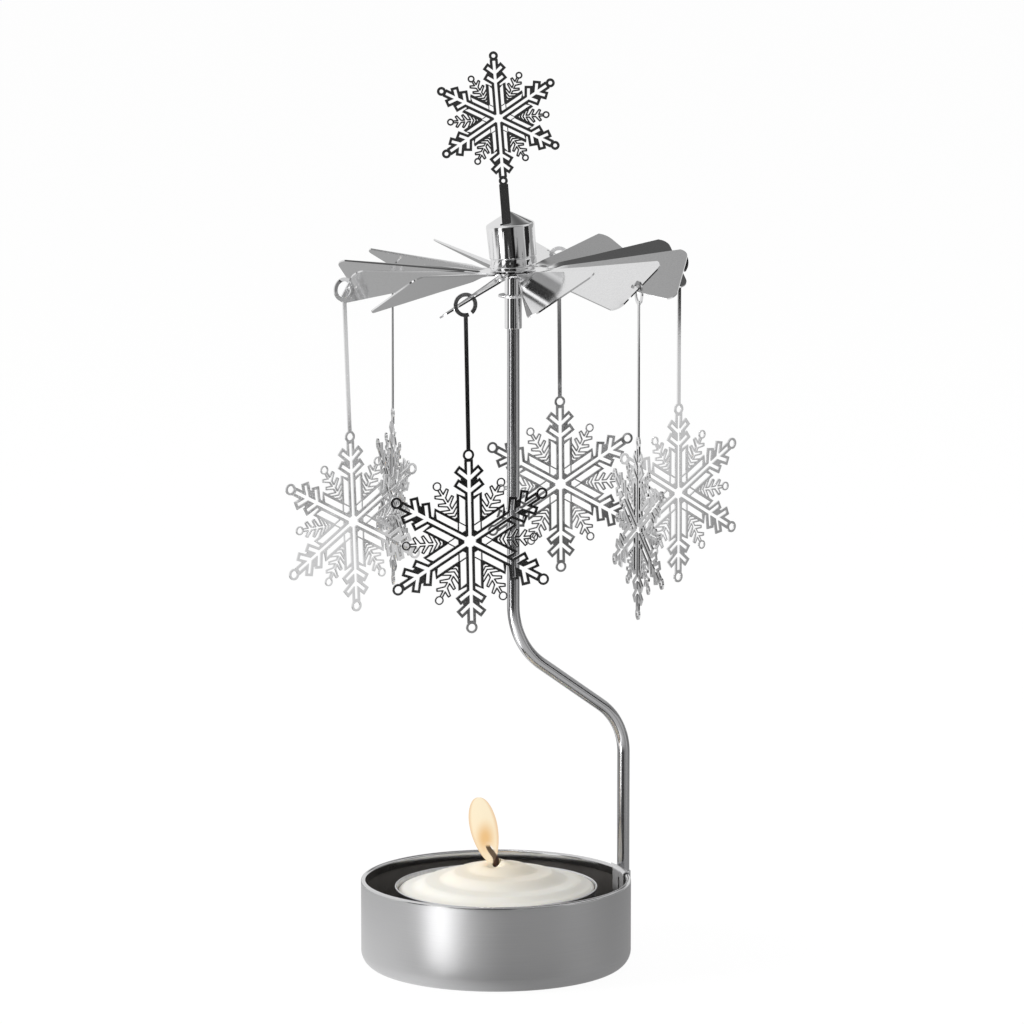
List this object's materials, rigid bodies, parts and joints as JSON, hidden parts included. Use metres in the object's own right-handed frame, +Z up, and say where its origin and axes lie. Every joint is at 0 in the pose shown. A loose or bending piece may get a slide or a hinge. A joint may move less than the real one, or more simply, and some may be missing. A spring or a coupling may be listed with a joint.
{
  "type": "rotating candle holder",
  "caption": "Steel tealight cup with a bent wire and a needle pivot that carries a fan rotor with hanging etched snowflake charms and a snowflake topper.",
  "frame": {"origin": "middle of the cup's flat base, on the surface that it stands on", "axes": "+Z up, +X to the right of the picture, +Y away from its camera"},
  "size_m": [0.0828, 0.0733, 0.1701],
  "materials": {
    "satin_cup": "satin, brushed round the wall",
    "polished_metal": "polished nickel plate",
    "wire": "drawn wire, bright",
    "etched_sheet": "etched and plated sheet",
    "tealight_foil": "drawn foil",
    "wax": "ivory paraffin wax, soft sheen",
    "wick": "burnt cotton wick"
  },
  "bodies": {
    "stand": {"cup_bowl": "satin_cup", "rim_clip": "polished_metal", "stem_wire": "wire", "pivot_sleeve": "polished_metal", "collar_ring": "polished_metal", "pivot_needle": "wire"},
    "rotor": {"fan_disc": "polished_metal", "hub_ferrule": "polished_metal", "hub_cap": "polished_metal", "topper_snowflake": "etched_sheet"},
    "charm_body_1": {"charm_1": "etched_sheet"},
    "charm_body_2": {"charm_2": "etched_sheet"},
    "charm_body_3": {"charm_3": "etched_sheet"},
    "charm_body_4": {"charm_4": "etched_sheet"},
    "charm_body_5": {"charm_5": "etched_sheet"},
    "charm_body_6": {"charm_6": "etched_sheet"},
    "tealight": {"tealight_shell": "tealight_foil", "wick_sustainer": "tealight_foil", "tealight_wax": "wax", "tealight_wick": "wick"}
  },
  "joints": [
    {"name": "rotor_spin", "type": "hinge", "parent": "stand", "child": "rotor", "pos_m": [0.0032, 0, 0.1295], "axis": [0, 0, 1], "continuous": true},
    {"name": "charm_swing_1", "type": "hinge", "parent": "rotor", "child": "charm_body_1", "pos_m": [-0.00534, -0.03004, 0.1274], "axis": [0.2924, -0.9563, 0], "range_deg": [-21.1, 18.9]},
    {"name": "charm_swing_2", "type": "hinge", "parent": "rotor", "child": "charm_body_2", "pos_m": [0.02568, -0.02243, 0.12852], "axis": [-0.9563, -0.2924, 0], "range_deg": [-6, 20]},
    {"name": "charm_swing_3", "type": "hinge", "parent": "rotor", "child": "charm_body_3", "pos_m": [0.03371, 0.00988, 0.12966], "axis": [0.6691, -0.7431, 0], "range_deg": [-6, 20]},
    {"name": "charm_swing_4", "type": "hinge", "parent": "rotor", "child": "charm_body_4", "pos_m": [0.01169, 0.03016, 0.12798], "axis": [0.3584, -0.9336, 0], "range_deg": [-20.5, 19.5]},
    {"name": "charm_swing_5", "type": "hinge", "parent": "rotor", "child": "charm_body_5", "pos_m": [-0.01926, 0.02244, 0.12695], "axis": [-0.9744, -0.225, 0], "range_deg": [-20, 8]},
    {"name": "charm_swing_6", "type": "hinge", "parent": "rotor", "child": "charm_body_6", "pos_m": [-0.02747, -0.00974, 0.12742], "axis": [0.6018, -0.7986, 0], "range_deg": [-22.5, 5.5]},
    {"name": "tealight_lift", "type": "slide", "parent": "stand", "child": "tealight", "axis": [0, 0, 1], "range_m": [0, 0.018]}
  ]
}
